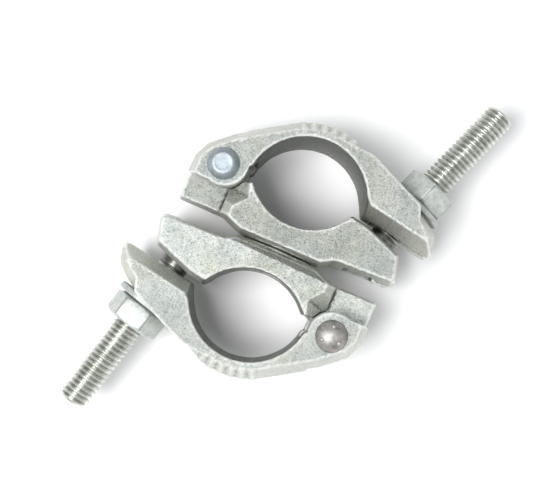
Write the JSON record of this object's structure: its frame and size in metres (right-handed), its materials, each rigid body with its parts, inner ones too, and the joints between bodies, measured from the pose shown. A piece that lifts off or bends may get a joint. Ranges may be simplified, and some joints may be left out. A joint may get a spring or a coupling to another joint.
{
  "type": "swivel scaffold coupler",
  "caption": "Drop-forged galvanised coupler that clamps two scaffold tubes at any angle: hinged caps, swinging T-bolts with nuts and washers, and a central swivel rivet.",
  "frame": {"origin": "centre of the swivel joint between the two halves, halfway across the width", "axes": "+X in the swivel plane from the hinge of half A towards its bolt, +Y along the swivel axis from half B to half A, +Z along both tubes, upwards as the coupler lies on its side"},
  "size_m": [0.1264, 0.1795, 0.0518],
  "materials": {
    "forged_zinc": "hot-dip galvanised drop forging, grainy matt grey",
    "rivet_bright": "bright zinc-plated rivet, bluish",
    "rivet_dull": "duller zinc-plated rivet, warm grey",
    "bolt_zinc": "zinc-plated rolled thread, faint yellow-green passivation",
    "nut_zinc": "zinc-plated hexagon nut and thick washer"
  },
  "bodies": {
    "body_a": {"saddle_a": "forged_zinc", "hinge_rivet_a": "rivet_bright", "swivel_rivet": "rivet_dull"},
    "body_b": {"saddle_b": "forged_zinc", "hinge_rivet_b": "rivet_dull"},
    "cap_a": {"cap_a": "forged_zinc"},
    "cap_b": {"cap_b": "forged_zinc"},
    "bolt_a": {"t_bolt_a": "bolt_zinc"},
    "bolt_b": {"t_bolt_b": "bolt_zinc"},
    "washer_a": {"washer_a": "nut_zinc"},
    "washer_b": {"washer_b": "nut_zinc"},
    "nut_a": {"nut_a": "nut_zinc"},
    "nut_b": {"nut_b": "nut_zinc"}
  },
  "joints": [
    {"name": "swivel", "type": "hinge", "parent": "body_a", "child": "body_b", "pos_m": [0, 0, 0], "axis": [0, 1, 0], "continuous": true},
    {"name": "bolt_swing_a", "type": "hinge", "parent": "body_a", "child": "bolt_a", "pos_m": [0.0334, 0.0105, 0], "axis": [0, 0, -1], "range_deg": [0, 60]},
    {"name": "nut_run_a", "type": "slide", "parent": "bolt_a", "child": "washer_a", "axis": [0.3502, 0.9367, 0], "range_m": [0, 0.0255]},
    {"name": "nut_turn_a", "type": "hinge", "parent": "washer_a", "child": "nut_a", "pos_m": [0.0334, 0.0105, 0], "axis": [0.3502, 0.9367, 0], "range_deg": [0, 4340]},
    {"name": "cap_hinge_a", "type": "hinge", "parent": "body_a", "child": "cap_a", "pos_m": [-0.0325, 0.0231, 0], "axis": [0, 0, 1], "range_deg": [0, 20.4]},
    {"name": "bolt_swing_b", "type": "hinge", "parent": "body_b", "child": "bolt_b", "pos_m": [-0.0334, -0.0105, 0], "axis": [0, 0, -1], "range_deg": [0, 66]},
    {"name": "nut_run_b", "type": "slide", "parent": "bolt_b", "child": "washer_b", "axis": [-0.2402, -0.9707, 0], "range_m": [0, 0.0255]},
    {"name": "nut_turn_b", "type": "hinge", "parent": "washer_b", "child": "nut_b", "pos_m": [-0.0334, -0.0105, 0], "axis": [-0.2402, -0.9707, 0], "range_deg": [0, 4340]},
    {"name": "cap_hinge_b", "type": "hinge", "parent": "body_b", "child": "cap_b", "pos_m": [0.0325, -0.0231, 0], "axis": [0, 0, 1], "range_deg": [0, 20.4]}
  ],
  "couplings": [
    {"joint": "nut_turn_a", "follows": "nut_run_a", "rad_per_m": 2968.4},
    {"joint": "cap_hinge_a", "follows": "nut_run_a", "rad_per_m": 13.9},
    {"joint": "nut_turn_b", "follows": "nut_run_b", "rad_per_m": 2968.4},
    {"joint": "cap_hinge_b", "follows": "nut_run_b", "rad_per_m": 13.9}
  ]
}
